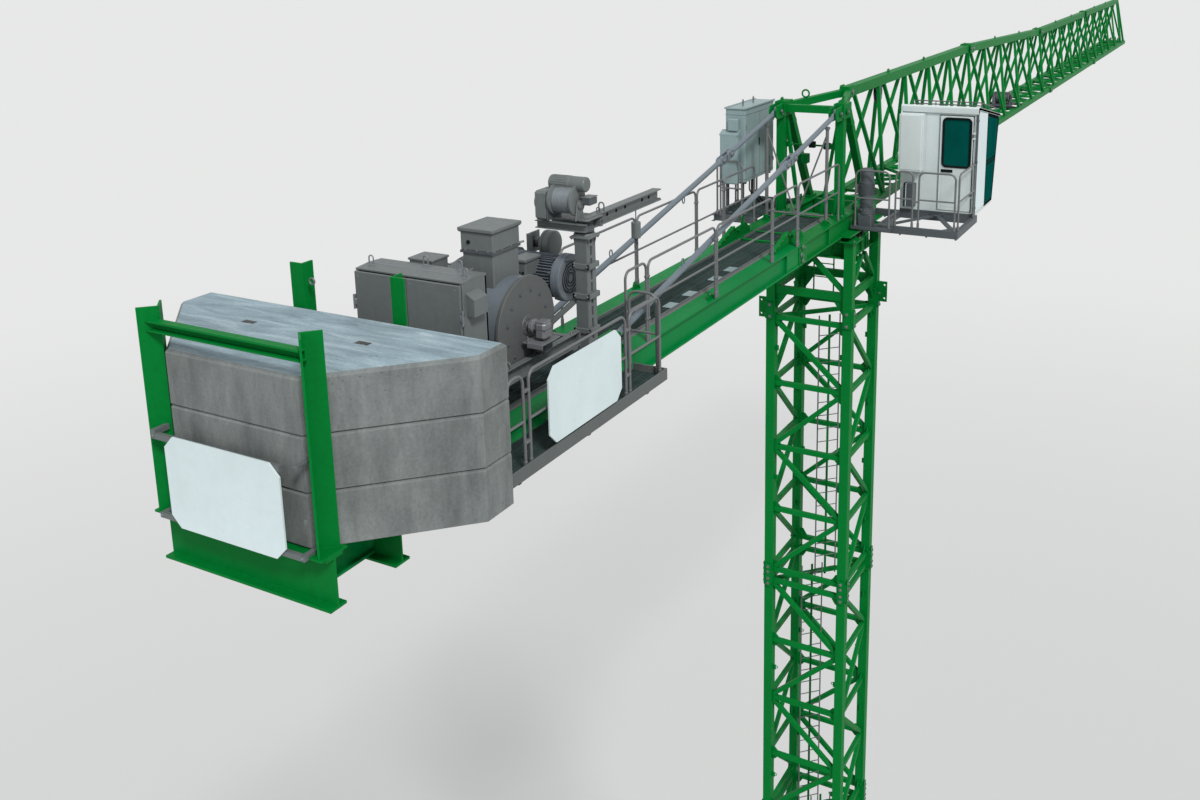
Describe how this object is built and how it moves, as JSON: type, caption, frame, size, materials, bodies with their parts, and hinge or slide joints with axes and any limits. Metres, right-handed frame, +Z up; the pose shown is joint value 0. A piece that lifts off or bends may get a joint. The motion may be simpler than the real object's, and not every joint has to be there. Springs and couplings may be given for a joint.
{
  "type": "tower crane, 1:2 scale model",
  "caption": "Flat-top style tower crane with lattice mast, lattice jib, counter-jib with concrete blocks, hoist winch, service davit and driver's cab; it slews on its ring.",
  "frame": {"origin": "mast axis at the underside of the anchor plate", "axes": "+Y along the jib at rest, +X to the cab side, +Z up"},
  "size_m": [2.275, 29.161, 16.78],
  "materials": {
    "green_paint": "satin",
    "grey_paint": "satin",
    "light_grey_paint": "satin",
    "white_paint": "gloss",
    "galvanised": "matte",
    "concrete": "rough",
    "glass": "clear",
    "steel": "satin"
  },
  "bodies": {
    "mast": {"base_plate": "green_paint", "mast_legs": "green_paint", "mast_bracing_rear": "green_paint", "mast_bracing_front": "green_paint", "mast_bracing_left": "green_paint", "mast_bracing_right": "green_paint", "mast_ladder": "galvanised", "mast_plan_struts": "green_paint", "mast_head": "green_paint", "turntable": "green_paint", "slewing_ring": "steel"},
    "slewing": {"slewing_deck": "green_paint", "slewing_motor": "grey_paint", "tower_head": "green_paint", "jib_top_chord": "green_paint", "jib_bottom_chords": "green_paint", "jib_lacing_left": "green_paint", "jib_lacing_right": "green_paint", "jib_bottom_lacing": "green_paint", "jib_tip": "green_paint", "jib_pulley_unit": "grey_paint", "trolley_winch": "grey_paint", "counterjib_beams": "green_paint", "counterjib_lugs": "green_paint", "counterjib_crossbeams": "green_paint", "plate_frame": "grey_paint", "counterweight_frame": "green_paint", "counterweight_block_lower": "concrete", "counterweight_block_middle": "concrete", "counterweight_block_upper": "concrete", "blank_plates": "white_paint", "walkway": "galvanised", "railing_left": "grey_paint", "railing_right": "grey_paint", "side_platform": "grey_paint", "railing_side": "grey_paint", "tie_bars": "grey_paint", "tie_bar_stand": "grey_paint", "winch_base": "grey_paint", "winch_gearcase": "grey_paint", "winch_motor": "grey_paint", "switch_cabinet": "grey_paint", "davit_post": "grey_paint", "cabinet_platform": "grey_paint", "railing_cabinet": "grey_paint", "light_cabinet": "light_grey_paint", "cab_body": "white_paint", "cab_glazing": "glass", "cab_platform": "grey_paint", "railing_cab": "grey_paint"},
    "davit_arm": {"davit_arm": "grey_paint"},
    "cab_door": {"cab_door": "white_paint"},
    "hoist_drum": {"hoist_drum": "grey_paint"},
    "switch_cabinet_door_left": {"switch_cabinet_door_left": "grey_paint"},
    "switch_cabinet_door_right": {"switch_cabinet_door_right": "grey_paint"},
    "trolley_winch_drum": {"trolley_winch_drum": "grey_paint"}
  },
  "joints": [
    {"name": "slew", "type": "hinge", "parent": "mast", "child": "slewing", "pos_m": [0, 0, 15.25], "axis": [0, 0, 1], "continuous": true},
    {"name": "davit_swing", "type": "hinge", "parent": "slewing", "child": "davit_arm", "pos_m": [0.4025, -5.26, 16.46], "axis": [0, 0, 1], "range_deg": [-135, 30]},
    {"name": "cab_door_swing", "type": "hinge", "parent": "slewing", "child": "cab_door", "pos_m": [1.2925, 0.4925, 15.9], "axis": [0, 0, 1], "range_deg": [0, 90]},
    {"name": "hoist_drum_spin", "type": "hinge", "parent": "slewing", "child": "hoist_drum", "pos_m": [0, -5.805, 16.045], "axis": [1, 0, 0], "continuous": true},
    {"name": "switch_door_left_swing", "type": "hinge", "parent": "slewing", "child": "switch_cabinet_door_left", "pos_m": [-0.3575, -6.39, 16], "axis": [0, 0, -1], "range_deg": [0, 90]},
    {"name": "switch_door_right_swing", "type": "hinge", "parent": "slewing", "child": "switch_cabinet_door_right", "pos_m": [0.3575, -6.39, 16], "axis": [0, 0, 1], "range_deg": [0, 90]},
    {"name": "trolley_drum_spin", "type": "hinge", "parent": "slewing", "child": "trolley_winch_drum", "pos_m": [0, 8.25, 15.595], "axis": [1, 0, 0], "continuous": true}
  ]
}
